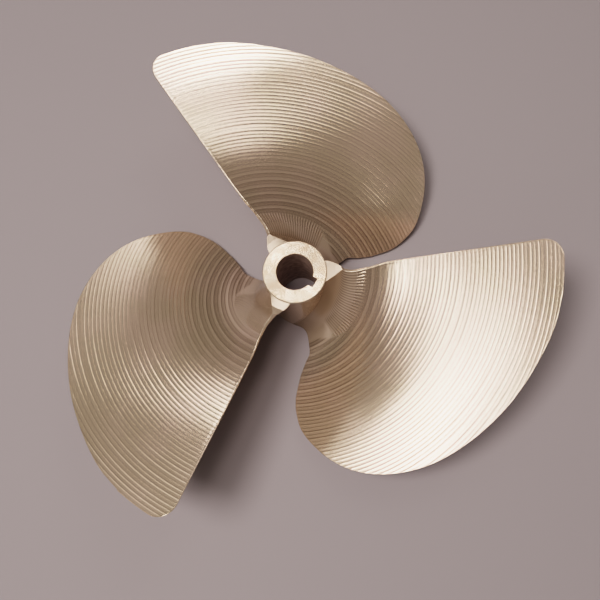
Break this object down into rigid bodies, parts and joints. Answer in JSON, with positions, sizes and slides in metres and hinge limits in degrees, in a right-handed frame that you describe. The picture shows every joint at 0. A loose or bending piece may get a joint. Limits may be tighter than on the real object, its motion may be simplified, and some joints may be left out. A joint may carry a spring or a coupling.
{
  "type": "ship propeller",
  "caption": "One-piece milled bronze boat propeller, right-hand, with wide skewed blades, a tapered shaft bore and a keyway.",
  "frame": {"origin": "the centre of mass, which lies on the shaft axis", "axes": "+Z along the shaft axis towards the aft end of the hub, where the nut goes, so the forward face of the hub is down; +Y along the middle line of the first blade"},
  "size_m": [0.312, 0.303, 0.0895],
  "materials": {
    "bronze": "milled, fine concentric tool marks, bright and uncoated"
  },
  "bodies": {
    "root": {"propeller": "bronze"}
  },
  "joints": []
}
